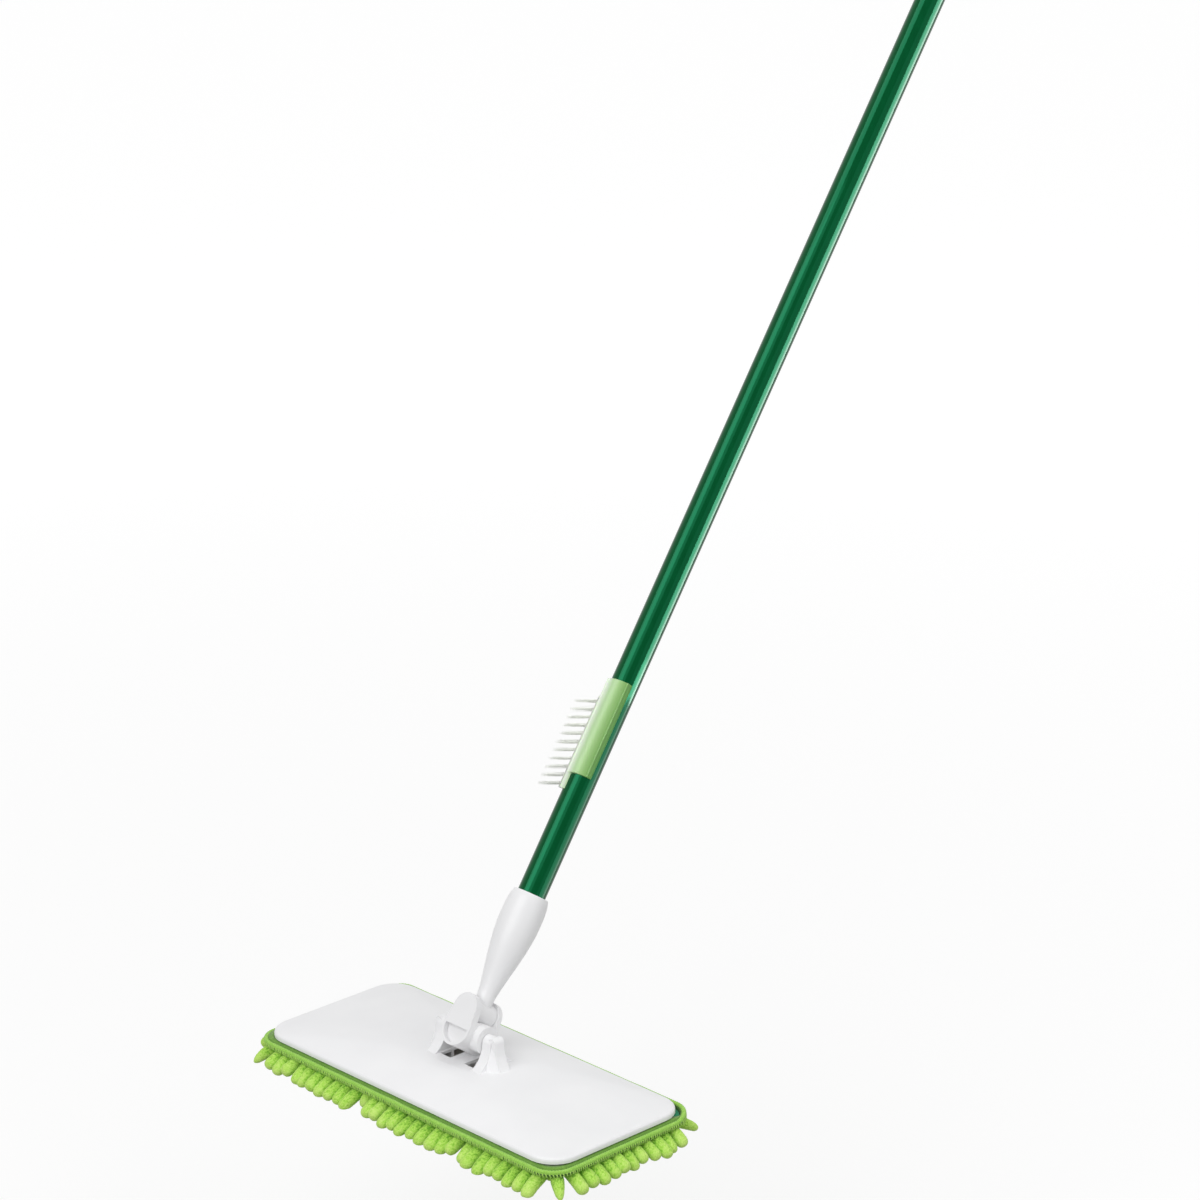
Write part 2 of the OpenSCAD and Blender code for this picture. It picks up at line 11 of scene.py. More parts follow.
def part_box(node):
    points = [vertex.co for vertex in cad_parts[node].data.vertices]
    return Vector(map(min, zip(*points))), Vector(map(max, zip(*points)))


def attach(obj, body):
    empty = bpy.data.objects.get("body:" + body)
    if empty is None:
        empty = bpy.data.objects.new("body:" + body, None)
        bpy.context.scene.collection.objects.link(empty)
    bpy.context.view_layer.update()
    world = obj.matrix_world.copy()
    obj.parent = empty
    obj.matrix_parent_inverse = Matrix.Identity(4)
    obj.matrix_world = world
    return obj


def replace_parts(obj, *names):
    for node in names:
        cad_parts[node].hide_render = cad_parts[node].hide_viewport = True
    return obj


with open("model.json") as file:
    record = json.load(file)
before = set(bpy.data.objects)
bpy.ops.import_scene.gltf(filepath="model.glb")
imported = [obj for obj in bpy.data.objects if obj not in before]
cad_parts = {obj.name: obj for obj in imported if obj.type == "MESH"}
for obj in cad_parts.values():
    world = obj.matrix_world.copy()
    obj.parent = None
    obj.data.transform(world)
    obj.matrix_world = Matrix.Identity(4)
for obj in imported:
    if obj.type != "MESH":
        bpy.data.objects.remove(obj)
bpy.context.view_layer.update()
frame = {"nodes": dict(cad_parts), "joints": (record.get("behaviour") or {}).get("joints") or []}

MM = 0.001
rng = np.random.default_rng(7)


# Places taken from the frame, in millimetres

def box_mm(node):
    low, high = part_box(node)
    return np.array(low) / MM, np.array(high) / MM


joints = {joint["name"]: joint for joint in frame["joints"]}
TILT = Vector(joints["head_tilt"]["pos_m"]) / MM
HANDLE_AXIS = Vector(joints["brush_slide"]["axis"])
FORK_AXIS = Vector(joints["head_swing"]["axis"])
SIDE_AXIS = FORK_AXIS.cross(HANDLE_AXIS)
LEAN = math.atan2(HANDLE_AXIS.y, HANDLE_AXIS.z)
BRUSH_TURN = math.radians(222)
BRUSH_AXIS = SIDE_AXIS * math.cos(BRUSH_TURN) + FORK_AXIS * math.sin(BRUSH_TURN)
CLIP_LIPS, CLIP_BACK = -6, 14

BACKING_HIGH = box_mm("pad_backing")[1]
SPONGE_LOW = box_mm("pad_sponge")[0]
BINDING_LOW, BINDING_HIGH = box_mm("pad_binding")

PAD_X = BACKING_HIGH[0]
PAD_Y = BACKING_HIGH[1]
PAD_CORNER = 15
CLOTH_TOP = SPONGE_LOW[2]
CLOTH_THICKNESS = 1.6
CLOTH_BOTTOM = CLOTH_TOP - CLOTH_THICKNESS
BINDING_WIDTH = BINDING_HIGH[0] - PAD_X


# Meshes

PLAIN_TONE = 0.5
CORNER_POINTS = 24
EDGE_POINTS = 9
SLAB_STEP = 3


class Piece:
    """Collects shapes in millimetres and makes one mesh object of them."""

    def __init__(self):
        self.verts, self.faces, self.values, self.count = [], [], [], 0

    def add(self, verts, faces, values=None):
        self.verts.append(verts)
        self.faces += [tuple(i + self.count for i in face) for face in faces]
        self.values.append(np.full(len(verts), PLAIN_TONE) if values is None else values)
        self.count += len(verts)

    def build(self, name, finish, body, slot):
        mesh = bpy.data.meshes.new(name)
        mesh.from_pydata((np.concatenate(self.verts) * MM).tolist(), [], self.faces)
        # Each point's value for the chenille's colour: painted shade and painted light on the yarn, and a
        # plain middle value on other pieces.
        mesh.attributes.new("pile_shade", "FLOAT", "POINT").data.foreach_set(
            "value", np.concatenate(self.values).astype(np.float32))
        mesh.shade_smooth()
        mesh.materials.append(finish)
        piece = bpy.data.objects.new(name, mesh)
        bpy.context.scene.collection.objects.link(piece)
        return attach(piece, body)


def tube_faces(rows, cols):
    """Quads between the rings of a tube and fans to its two poles, which are its last two points."""
    first, last = rows * cols, rows * cols + 1
    top = (rows - 1) * cols
    faces = []
    for j in range(cols):
        k = (j + 1) % cols
        faces += [(i + j, i + k, i + cols + k, i + cols + j) for i in range(0, top, cols)]
        faces += [(first, k, j), (last, top + j, top + k)]
    return faces


def tube(centres, side, up, radii):
    """A closed tube along centres. Each point of a ring, in the plane of side and up, has its own radius."""
    turn = np.arange(radii.shape[1]) * 2 * np.pi / radii.shape[1]
    ring = side[:, None] * np.cos(turn)[None, :, None] + up[:, None] * np.sin(turn)[None, :, None]
    rings = centres[:, None] + ring * radii[:, :, None]
    return np.concatenate([rings.reshape(-1, 3), centres[:1], centres[-1:]])


class Rim:
    """A rounded rectangle in the plane of the floor, walked along its length from the front right corner."""

    def __init__(self, half_x, half_y, corner):
        centres = np.array([[1, -1], [1, 1], [-1, 1], [-1, -1]]) * [half_x - corner, half_y - corner]
        points, normals = [], []
        for k, centre in enumerate(centres):
            angles = np.radians(np.linspace(90 * k - 90, 90 * k, CORNER_POINTS))
            normals.append(np.stack([np.cos(angles), np.sin(angles)], 1))
            points.append(centre + corner * normals[-1])
        points, normals = np.concatenate(points), np.concatenate(normals)
        self.points = np.concatenate([points, points[:1]])
        self.normals = np.concatenate([normals, normals[:1]])
        steps = np.linalg.norm(np.diff(self.points, axis=0), axis=1)
        self.along = np.concatenate([[0], np.cumsum(steps)])
        self.length = self.along[-1]

    def at(self, s):
        """Points and outward directions at the lengths s."""
        s = np.mod(s, self.length)
        point = np.stack([np.interp(s, self.along, self.points[:, k]) for k in (0, 1)], -1)
        out = np.stack([np.interp(s, self.along, self.normals[:, k]) for k in (0, 1)], -1)
        return point, out / np.linalg.norm(out, axis=-1, keepdims=True)


def loop(rim, profile, step):
    """A closed band along a rim. Profile gives the (out, height) points of its section at a length."""
    stations = np.linspace(0, rim.length, int(rim.length / step), endpoint=False)
    rings = []
    for s in stations:
        point, out = rim.at(s)
        rings.append([[*(point + out * w), z] for w, z in profile(s, out)])
    rows, cols = len(rings), len(rings[0])
    faces = []
    for i in range(rows):
        here, there = i * cols, (i + 1) % rows * cols
        for j in range(cols):
            k = (j + 1) % cols
            faces.append((here + j, there + j, there + k, here + k))
    return np.array(rings).reshape(-1, 3), faces


def slab(half_x, half_y, corner, low, high, edge, place=(0, 0)):
    """A flat pad with rounded edges."""
    turns = np.radians(np.linspace(-90, 90, EDGE_POINTS))
    middle, half = (low + high) / 2, (high - low) / 2
    outline = [(-edge + edge * math.cos(t), middle + half * math.sin(t)) for t in turns]
    rim = Rim(half_x, half_y, corner)
    stations = np.linspace(0, rim.length, int(rim.length / SLAB_STEP), endpoint=False)
    point, out = rim.at(stations)
    rings = [np.column_stack([point + out * w + place, np.full(len(stations), z)]) for w, z in outline]
    poles = np.array([[*place, low], [*place, high]])
    return np.concatenate([*rings, poles]), tube_faces(len(rings), len(stations))


# Materials

def add(finish, kind, **settings):
    """A shader node. Settings with a capital are its sockets, with _ for a space, the others its options."""
    node = finish.node_tree.nodes.new("ShaderNode" + kind)
    for name, value in settings.items():
        if name[0].isupper():
            node.inputs[name.replace("_", " ")].default_value = value
        else:
            setattr(node, name, value)
    return node


def join(finish, out, into):
    finish.node_tree.links.new(out, into)


def shader(finish):
    return finish.node_tree.nodes["Principled BSDF"]


def new_finish(name, sockets):
    finish = bpy.data.materials.new(name)
    finish.use_nodes = True
    for socket, value in sockets.items():
        shader(finish).inputs[socket].default_value = value
    return finish


def place_of(finish, size, stretch=(1, 1, 1), turn=(0, 0, 0)):
    """The piece's own coordinates, so that one unit is size millimetres times stretch."""
    mapping = add(finish, "Mapping", Rotation=turn, Scale=[1 / (size * MM * k) for k in stretch])
    join(finish, add(finish, "TexCoord").outputs["Object"], mapping.inputs["Vector"])
    return mapping.outputs["Vector"]


def grain(finish, size, detail=2, **place):
    node = add(finish, "TexNoise", Scale=1, Detail=detail)
    join(finish, place_of(finish, size, **place), node.inputs["Vector"])
    return node.outputs["Fac"]


def cells(finish, size, **place):
    node = add(finish, "TexVoronoi", Scale=1)
    join(finish, place_of(finish, size, **place), node.inputs["Vector"])
    return node.outputs["Distance"]


def mixed(finish, a, b, share):
    """A share of a, added to b."""
    node = add(finish, "Math", operation="MULTIPLY_ADD")
    node.inputs[1].default_value = share
    join(finish, a, node.inputs[0])
    join(finish, b, node.inputs[2])
    return node.outputs[0]


def tint(finish, value, stops):
    ramp = add(finish, "ValToRGB")
    elements = ramp.color_ramp.elements
    while len(elements) < len(stops):
        elements.new(0.5)
    for element, (where, colour) in zip(elements, stops):
        element.position, element.color = where, (*colour, 1)
    join(finish, value, ramp.inputs["Fac"])
    join(finish, ramp.outputs["Color"], shader(finish).inputs["Base Color"])


def relief(finish, value, depth, strength=1):
    bump = add(finish, "Bump", Strength=strength, Distance=depth * MM)
    join(finish, value, bump.inputs["Height"])
    join(finish, bump.outputs["Normal"], shader(finish).inputs["Normal"])


def moulding(name, dark, light, roughness, depth=0.03):
    """Moulded plastic: a soft change of tone, and a fine grain on its surface."""
    finish = new_finish(name, {
        "Roughness": roughness, "Subsurface Weight": 0.05, "Subsurface Radius": (0.002,) * 3})
    tint(finish, grain(finish, size=55), [(0.3, dark), (0.7, light)])
    relief(finish, grain(finish, size=0.9, detail=3), depth, strength=0.35)
    return finish


def coated_tube():
    """Coated steel: deep glossy green, with green reflections and an orange-peel surface."""
    finish = new_finish("tube_green", {
        "Roughness": 0.05, "Specular IOR Level": 0.28, "Specular Tint": (0.1, 1, 0.52, 1)})
    streaks = grain(finish, size=6, stretch=(1, 1, 30), turn=(LEAN, 0, 0))
    tint(finish, streaks, [(0.3, (0.0003, 0.057, 0.012)), (0.7, (0.0004, 0.066, 0.015))])
    relief(finish, grain(finish, size=2.2), depth=0.02, strength=0.15)
    return finish


def clip_green():
    """Pale green plastic that lets light in: milky at its thick back and clearer towards its lips. The
    near-white at the back is partly painted light and painted reflection on that side.
    """
    finish = new_finish("clip_green", {
        "Roughness": 0.32, "Specular IOR Level": 0.25,
        "Subsurface Weight": 0.3, "Subsurface Radius": (0.004, 0.006, 0.003)})
    depth = add(finish, "VectorMath", operation="DOT_PRODUCT")
    join(finish, add(finish, "TexCoord").outputs["Object"], depth.inputs[0])
    depth.inputs[1].default_value = BRUSH_AXIS
    share = add(finish, "MapRange", From_Min=(CLIP_LIPS + TILT.dot(BRUSH_AXIS)) * MM,
                From_Max=(CLIP_BACK + TILT.dot(BRUSH_AXIS)) * MM)
    join(finish, depth.outputs["Value"], share.inputs["Value"])
    clouds = grain(finish, size=14, stretch=(1, 1, 3), turn=(LEAN, 0, 0))
    # From the lips to the back; the near-white last stop is partly milky plastic and partly painted light.
    tint(finish, mixed(finish, clouds, share.outputs[0], share=0.05), [
        (0.06, (0.12, 0.33, 0.07)), (0.3, (0.25, 0.47, 0.15)), (0.56, (0.33, 0.56, 0.21)),
        (0.78, (0.46, 0.66, 0.36)), (0.95, (0.82, 0.91, 0.77))])
    relief(finish, grain(finish, size=0.8), depth=0.01, strength=0.1)
    return finish


def chenille(name, dark, middle, light):
    """Chenille yarn with fine fibres. Its colour ramp follows the value stored on the mesh: painted light
    towards the tip, painted shade at the root and in the valleys between loops, and painted shade in the
    dents between the fibres.
    """
    finish = new_finish(name, {
        "Roughness": 0.85, "Specular IOR Level": 0.2,
        "Sheen Weight": 0.5, "Sheen Roughness": 0.5, "Sheen Tint": (0.75, 0.95, 0.4, 1)})
    # Painted shade and light: darker at the roots, in the valleys and between the fibres, lighter towards
    # the tip.
    pile_shade = add(finish, "Attribute", attribute_name="pile_shade").outputs["Fac"]
    fibres = cells(finish, size=0.6)
    tint(finish, mixed(finish, fibres, pile_shade, share=-0.32), [(0.0, dark), (0.27, middle), (0.66, light)])
    relief(finish, fibres, depth=-0.2, strength=0.6)
    return finish


def woven(name, dark, light, size, depth):
    """Knitted or woven cloth."""
    finish = new_finish(name, {"Roughness": 0.8, "Sheen Weight": 0.25, "Specular IOR Level": 0.25})
    weave = cells(finish, size, stretch=(1, 1, 0.7))
    tint(finish, mixed(finish, grain(finish, size=9), weave, share=0.5), [(0.1, light), (0.95, dark)])
    relief(finish, weave, -depth, strength=0.8)
    return finish


WHITE = moulding("moulding_white", (0.85, 0.85, 0.862), (0.885, 0.885, 0.893), roughness=0.42)
SWIVEL = moulding("swivel_white", (0.83, 0.83, 0.84), (0.865, 0.865, 0.87), roughness=0.30)
# The base panel is white plastic like the plate; its brighter, beige white paints light and warm shade where
# it shows through the plate's windows.
PANEL_PAINTED_LIGHT = moulding("panel_warm_painted_light", (0.91, 0.88, 0.80), (0.95, 0.92, 0.85), roughness=0.55)
TIP = moulding("tip_grey", (0.20, 0.21, 0.20), (0.26, 0.27, 0.26), roughness=0.5)
CAP = moulding("cap_green", (0.002, 0.045, 0.014), (0.003, 0.06, 0.02), roughness=0.38)
TUBE = coated_tube()
CLIP = clip_green()
# One lime yarn: its dark, middle and light greens are shaded and lit copies, chosen by painted shade and
# painted light.
LIME = chenille("chenille_lime", (0.15, 0.41, 0.03), (0.41, 0.73, 0.09), (0.61, 0.85, 0.21))
BINDING = woven("binding_lime", (0.26, 0.56, 0.06), (0.52, 0.79, 0.19), size=0.75, depth=0.15)
# The hem is the binding's lime cloth; its darker olive greens are painted shade under the plate's edge.
HEM_SHADED = woven("hem_shaded_lime", (0.12, 0.28, 0.035), (0.27, 0.5, 0.09), size=0.75, depth=0.15)
# The cut edge is coloured darker than the backing cloth: painted shade between the overlock stitches.
SEAM_SHADED = woven("seam_shaded_green", (0.04, 0.13, 0.015), (0.09, 0.24, 0.035), size=0.75, depth=0.15)
STITCH = woven("stitch_lime", (0.44, 0.73, 0.13), (0.6, 0.87, 0.22), size=0.4, depth=0.1)
BACKING = woven("backing_green", (0.002, 0.2, 0.09), (0.006, 0.42, 0.18), size=1.1, depth=0.3)
HOOK = woven("hook_grey", (0.05, 0.06, 0.055), (0.13, 0.14, 0.13), size=1.2, depth=0.5)
BRISTLE = moulding("bristle_pale", (0.93, 0.96, 0.88), (0.97, 0.98, 0.95), roughness=0.5, depth=0.01)

CAD_FINISHES = {
    "head_plate": WHITE, "base_panel": PANEL_PAINTED_LIGHT, "swivel_yoke": SWIVEL, "handle_socket": SWIVEL,
    "threaded_tip": TIP, "handle_tube": TUBE, "end_cap": CAP, "brush_clip": CLIP,
}
for node, finish in CAD_FINISHES.items():
    frame["nodes"][node].data.materials.clear()
    frame["nodes"][node].data.materials.append(finish)


# The pad: hook strips, and the backing on its sponge

TAPE_CORNER, TAPE_EDGE = 2, 0.8
PAD_EDGE = 1.2


def pad_layers():
    for node in ("front_hook_strip", "middle_hook_strip", "rear_hook_strip"):
        low, high = box_mm(node)
        middle, half = (low + high) / 2, (high - low) / 2
        piece = Piece()
        piece.add(*slab(half[0], half[1], TAPE_CORNER, low[2], high[2], TAPE_EDGE, middle[:2]))
        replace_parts(piece.build(node + "_tape", HOOK, "head", "hook_tape"), node)
    piece = Piece()
    piece.add(*slab(PAD_X, PAD_Y, PAD_CORNER, SPONGE_LOW[2], BACKING_HIGH[2], PAD_EDGE))
    pad = piece.build("pad_body", BACKING, "head", "backing")
    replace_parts(pad, "pad_backing", "pad_sponge")


# The binding: a cord with its hem, and the overlocked seam under it

CORD_HALF_HEIGHT, CORD_HALF_WIDTH = 1.6, 1.75
CORD_DROP = 2
CORD_MIDDLE = BINDING_HIGH[2] - CORD_DROP - CORD_HALF_HEIGHT
CORD_SQUARENESS = 0.8
CORD_SIDES = 16
CORD_WAVE, CORD_WAVE_LENGTH = 0.25, 22
CORD_SWELL_SHARE, CORD_SWELL_LENGTH = 0.06, 15
CORD_RIB_SHARE = 0.1
REAR_LIFT = 3
HEM_OUT, HEM_RISE = 1.2, 0.5
HEM_WAVE, HEM_WAVE_LENGTH = 0.15, 9
FRONT_TUCK, REAR_TUCK = 6, -0.7
SEAM_IN, SEAM_LOW_OUT, SEAM_TOP_OUT = 0.2, 2.9, 3.1
SEAM_LOW = BINDING_LOW[2] + 0.2
SEAM_STEP = 3

STITCH_PITCH = 2
CORD_STEP = STITCH_PITCH / 4
STITCH_R = 0.48
STITCH_SIDES = 6
STITCH_LOW = BINDING_LOW[2] - 0.4
STITCH_TOP_BEND, STITCH_LOW_BEND = 0.7, 0.3
STITCH_ALONG_SHARES = np.array([0, 0, 0.12, 0.3, 0.35])
STITCH_REACH = np.array([-0.6, -0.05, 0, -0.5, -1.4])
STITCH_RISE = np.array([1, 0.4, 0, -0.5, -1.2])
STITCH_R_SHARES = np.array([0.6, 1, 1, 0.95, 0.6])
STITCH_ALONG_SPREAD, STITCH_REACH_SPREAD = 0.07, 0.12


def uneven(s, size, seed):
    """A smooth change along the rim, from -1 to 1."""
    return noise.noise(Vector((s / size, seed, 0)))


def squared(value):
    """A sine or cosine, drawn out to make a circle squarer."""
    return math.copysign(abs(value) ** CORD_SQUARENESS, value)


def rear_lift(out):
    """How far the binding stands up, which it does along the rear."""
    return REAR_LIFT * max(0, out[1])


def cord_profile(s, out):
    """The cord of the binding, ribbed by its thread."""
    middle = CORD_MIDDLE + CORD_WAVE * uneven(s, CORD_WAVE_LENGTH, 1) + rear_lift(out)
    swell = (1 + CORD_SWELL_SHARE * uneven(s, CORD_SWELL_LENGTH, 2)
             + CORD_RIB_SHARE * math.cos(2 * math.pi * s / STITCH_PITCH))
    points = []
    for t in np.radians(np.arange(0, 360, 360 / CORD_SIDES)):
        across = squared(math.cos(t)) * CORD_HALF_WIDTH * swell
        rise = squared(math.sin(t)) * CORD_HALF_HEIGHT * swell
        points.append((BINDING_WIDTH - CORD_HALF_WIDTH + across, middle + rise))
    return points


def hem_profile(s, out):
    """The flat hem inside the cord, tucked under the plate along the front."""
    tuck = FRONT_TUCK + (REAR_TUCK - FRONT_TUCK) * min(1, max(0, 2 * out[1]))
    top = BACKING_HIGH[2] + HEM_RISE + HEM_WAVE * uneven(s, HEM_WAVE_LENGTH, 3)
    return [(-tuck, SEAM_LOW), (HEM_OUT, SEAM_LOW), (HEM_OUT, top), (-tuck, top)]


def seam_profile(_, out):
    """The cut edge under the cord, that the overlock stitches wrap."""
    top = CORD_MIDDLE + rear_lift(out)
    return [(SEAM_IN, SEAM_LOW), (SEAM_LOW_OUT, SEAM_LOW), (SEAM_TOP_OUT, top), (SEAM_IN, top)]


def overlock(rim):
    """Stitches that lean a little, from the cord round the cut edge to the underside."""
    stitches = Piece()
    count = int(rim.length / STITCH_PITCH)
    rows = len(STITCH_REACH)
    faces = tube_faces(rows, STITCH_SIDES)
    radii = np.repeat(STITCH_R * STITCH_R_SHARES[:, None], STITCH_SIDES, 1)
    low = STITCH_LOW
    for k in range(count):
        steps = k + rng.normal(0, STITCH_ALONG_SPREAD) + STITCH_ALONG_SHARES
        point, out = rim.at(steps * rim.length / count)
        high = CORD_MIDDLE + rear_lift(out[0])
        reach = BINDING_WIDTH + STITCH_REACH + rng.normal(0, STITCH_REACH_SPREAD)
        height = np.array([high, high - STITCH_TOP_BEND, (high + low) / 2, low + STITCH_LOW_BEND, low])
        centres = np.column_stack([point + out * reach[:, None], height])
        side = np.column_stack([-out[:, 1], out[:, 0], np.zeros(rows)])
        up = np.column_stack([out, STITCH_RISE])
        up /= np.linalg.norm(up, axis=1, keepdims=True)
        stitches.add(tube(centres, side, up, radii), faces)
    stitches.build("binding_stitches", STITCH, "head", "binding")


def binding():
    rim = Rim(PAD_X, PAD_Y, PAD_CORNER)
    piece = Piece()
    piece.add(*loop(rim, cord_profile, CORD_STEP))
    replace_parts(piece.build("binding_band", BINDING, "head", "binding"), "pad_binding")
    # The hem's and the seam's darker greens are painted shade, under the plate's edge and between the
    # stitches.
    for name, profile, finish in (("binding_hem", hem_profile, HEM_SHADED), ("binding_seam", seam_profile, SEAM_SHADED)):
        piece = Piece()
        piece.add(*loop(rim, profile, SEAM_STEP))
        piece.build(name, finish, "head", "binding")
    overlock(rim)


# The chenille: fingers round the border and tufts under the pad

FLOOR_GAP = 0.12
LEAST_R = 0.05
TIP_POINT = 0.15
TIP_END = 86
TIP_ROUNDING = 0.75
WAIST_SHARE, WAIST_GROWTH = 0.9, 0.1

PILE_SIZE = 1.2
PILE_DEPTH = 0.5
PILE_LEVEL = 0.6
LOOP_SPAN, LOOP_SHARE = 0.8, 0.82
DRIFT_SIZE_SHARE, DRIFT_SHARE = 0.35, 0.15
VALLEY_TONE = 0.1
# The end points' colour values: painted shade at the root, painted light at the tip.
POLE_SHADE_TONES = [0.3, 0.6]
SEED_STEP = 40


def finger_rows(length, radius, body_rows, tip_rows):
    """Lengths along a finger and the share of its radius there, with a waist at the root and a round tip."""
    body = np.linspace(0, length - radius, body_rows, endpoint=False)
    tip = np.radians(np.linspace(0, TIP_END, tip_rows))
    along = np.concatenate([body, length - radius + radius * np.sin(tip)])
    waist = WAIST_SHARE + WAIST_GROWTH * np.minimum(body / radius, 1)
    return along, np.concatenate([waist, np.cos(tip) ** TIP_ROUNDING])


def pile_heights(seed, length, radius, rows, cols):
    """Rounded loops of yarn over a finger, from 0 in the valleys to 1 on the loops. They shape the finger,
    and also set its colour as painted shade in the valleys.
    """
    along, share = finger_rows(length, radius, *rows)
    turn = np.arange(cols) * 2 * np.pi / cols
    heights = np.zeros((len(along), cols))
    for i, (s, k) in enumerate(zip(along, share)):
        for j, t in enumerate(turn):
            x, y = radius * k * math.cos(t), radius * k * math.sin(t)
            place = Vector((x, y, s + SEED_STEP * seed)) / PILE_SIZE
            near = noise.voronoi(place)[0][0]
            drift = noise.noise(place * DRIFT_SIZE_SHARE)
            heights[i, j] = max(0, 1 - near / LOOP_SPAN) * LOOP_SHARE + DRIFT_SHARE * drift + VALLEY_TONE
    return np.clip(heights, 0, 1)


def finger(root, yaw, length, radius, pitch, bend, heights, rows, taper=0):
    """A finger from its root: pitch is its slope at the root and at the tip, bend its turn to the side."""
    along, share = finger_rows(length, radius, *rows)
    t = along / length
    share = share * (1 - taper * t ** 2)
    slope = np.radians(pitch[0] + (pitch[1] - pitch[0]) * t)
    turn = yaw + np.radians(bend) * t
    ahead = np.column_stack([np.cos(turn) * np.cos(slope), np.sin(turn) * np.cos(slope), np.sin(slope)])
    side = np.column_stack([-np.sin(turn), np.cos(turn), np.zeros(len(t))])
    up = np.cross(ahead, side)
    step = np.diff(along, prepend=0)[:, None]
    centres = root + np.cumsum(ahead * step, axis=0)
    radii = radius * share[:, None] + PILE_DEPTH * (heights - PILE_LEVEL) * np.sqrt(share)[:, None]
    verts = tube(centres, side, up, np.maximum(radii, LEAST_R))
    verts[-1] += ahead[-1] * TIP_POINT
    verts[:, 2] = np.maximum(verts[:, 2], FLOOR_GAP)
    # Colour values: the loops' heights as painted shade, then the two end points.
    return verts, np.concatenate([heights.ravel(), POLE_SHADE_TONES])


FINGER_ROWS = (32, 10)
FINGER_COLS = 48
FINGER_R, R_SPREAD_SHARE = 4.95, 0.035
FINGER_PITCH, PITCH_SPREAD_SHARE = 10.2, 0.05
FRONT_LENGTH, END_LENGTH, LENGTH_SPREAD = 22, 21, 1.4
ROOT_SLOPE, ROOT_SLOPE_SPREAD = -17, 2.5
TIP_SLOPE, TIP_SLOPE_SPREAD = -36, 5
BEND_SPREAD = 7
YAW_SPREAD = 0.05
CORNER_TAPER, TAPER_SPREAD = 0.5, 0.1
ROOT_INSET = 5
ROOT_Z, ROOT_Z_SPREAD = CLOTH_BOTTOM - 1.4, 0.25
TUCKED_X, TUCKED_LENGTH, TUCKED_SLOPES = -41, 13, (-30, -70)
# A finger's colour values: a share of its loops' heights as painted shade in the valleys, painted light
# growing towards the tip, painted shade at the root, and each finger's own random spread of tone.
PILE_SHADE_SHARE, TIP_LIGHT_SHARE, ROOT_SHADE, TONE_SPREAD = 0.7, 0.5, -0.07, 0.05
MODEL_LENGTH = 20
FINGER_MODELS = [pile_heights(seed, MODEL_LENGTH, FINGER_R, FINGER_ROWS, FINGER_COLS) for seed in range(7)]


def fingers():
    rim = Rim(PAD_X - ROOT_INSET, PAD_Y - ROOT_INSET, PAD_CORNER - ROOT_INSET)
    faces = tube_faces(sum(FINGER_ROWS), FINGER_COLS)
    # From 0 at the root to 1 at the tip, for painted light towards the tip.
    tip_light_mask = np.append(np.repeat(np.linspace(0, 1, sum(FINGER_ROWS)), FINGER_COLS), [0, 1])
    sides = {name: Piece() for name in ("front", "rear", "left", "right")}
    count = round(rim.length / FINGER_PITCH)
    for k in range(count):
        point, out = rim.at((k + rng.normal(0, PITCH_SPREAD_SHARE)) * rim.length / count)
        along_y = abs(out[1]) >= abs(out[0])
        length = rng.normal(FRONT_LENGTH if along_y else END_LENGTH, LENGTH_SPREAD)
        pitch = (rng.normal(ROOT_SLOPE, ROOT_SLOPE_SPREAD), rng.normal(TIP_SLOPE, TIP_SLOPE_SPREAD))
        taper = CORNER_TAPER * max(0, 2 * abs(out[0] * out[1])) + max(0, rng.normal(0, TAPER_SPREAD))
        if out[1] < 0 and abs(point[0] - TUCKED_X) < FINGER_PITCH / 2:
            length, pitch = TUCKED_LENGTH, TUCKED_SLOPES
        yaw = math.atan2(out[1], out[0]) + rng.normal(0, YAW_SPREAD)
        model = FINGER_MODELS[rng.integers(len(FINGER_MODELS))]
        heights = np.roll(model, rng.integers(FINGER_COLS), axis=1)
        root = np.array([*point, ROOT_Z + rng.normal(0, ROOT_Z_SPREAD)])
        radius = FINGER_R * rng.normal(1, R_SPREAD_SHARE)
        bend = rng.normal(0, BEND_SPREAD)
        verts, values = finger(root, yaw, length, radius, pitch, bend, heights, FINGER_ROWS, taper)
        # Painted shade in the valleys and at the root, painted light towards the tip, and each finger's own
        # random tone.
        painted_shade_and_tone = PILE_SHADE_SHARE * values + TIP_LIGHT_SHARE * tip_light_mask + ROOT_SHADE + rng.normal(0, TONE_SPREAD)
        name = ("front" if out[1] < 0 else "rear") if along_y else ("left" if out[0] < 0 else "right")
        sides[name].add(verts, faces, painted_shade_and_tone)
    for name, piece in sides.items():
        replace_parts(piece.build(name + "_chenille", LIME, "head", "chenille"), name + "_fingers")


TUFT_ROWS = (6, 5)
TUFT_COLS = 16
TUFT_R = 5
TUFT_PITCH, TUFT_ROW_SHARE = 10.4, 0.9
TUFT_MARGIN = 8
TUFT_SHIFT = 0.25
TUFT_PLACE_SPREAD = 0.5
TUFT_SINK = 0.3
TUFT_LENGTH, TUFT_LENGTH_SPREAD = 11.6, 0.4
TUFT_SLOPE, TUFT_SLOPE_SPREAD = -84, 5
TUFT_MODEL_LENGTH = 11
TUFT_SEEDS = range(20, 26)
CLOTH_EDGE = 0.6


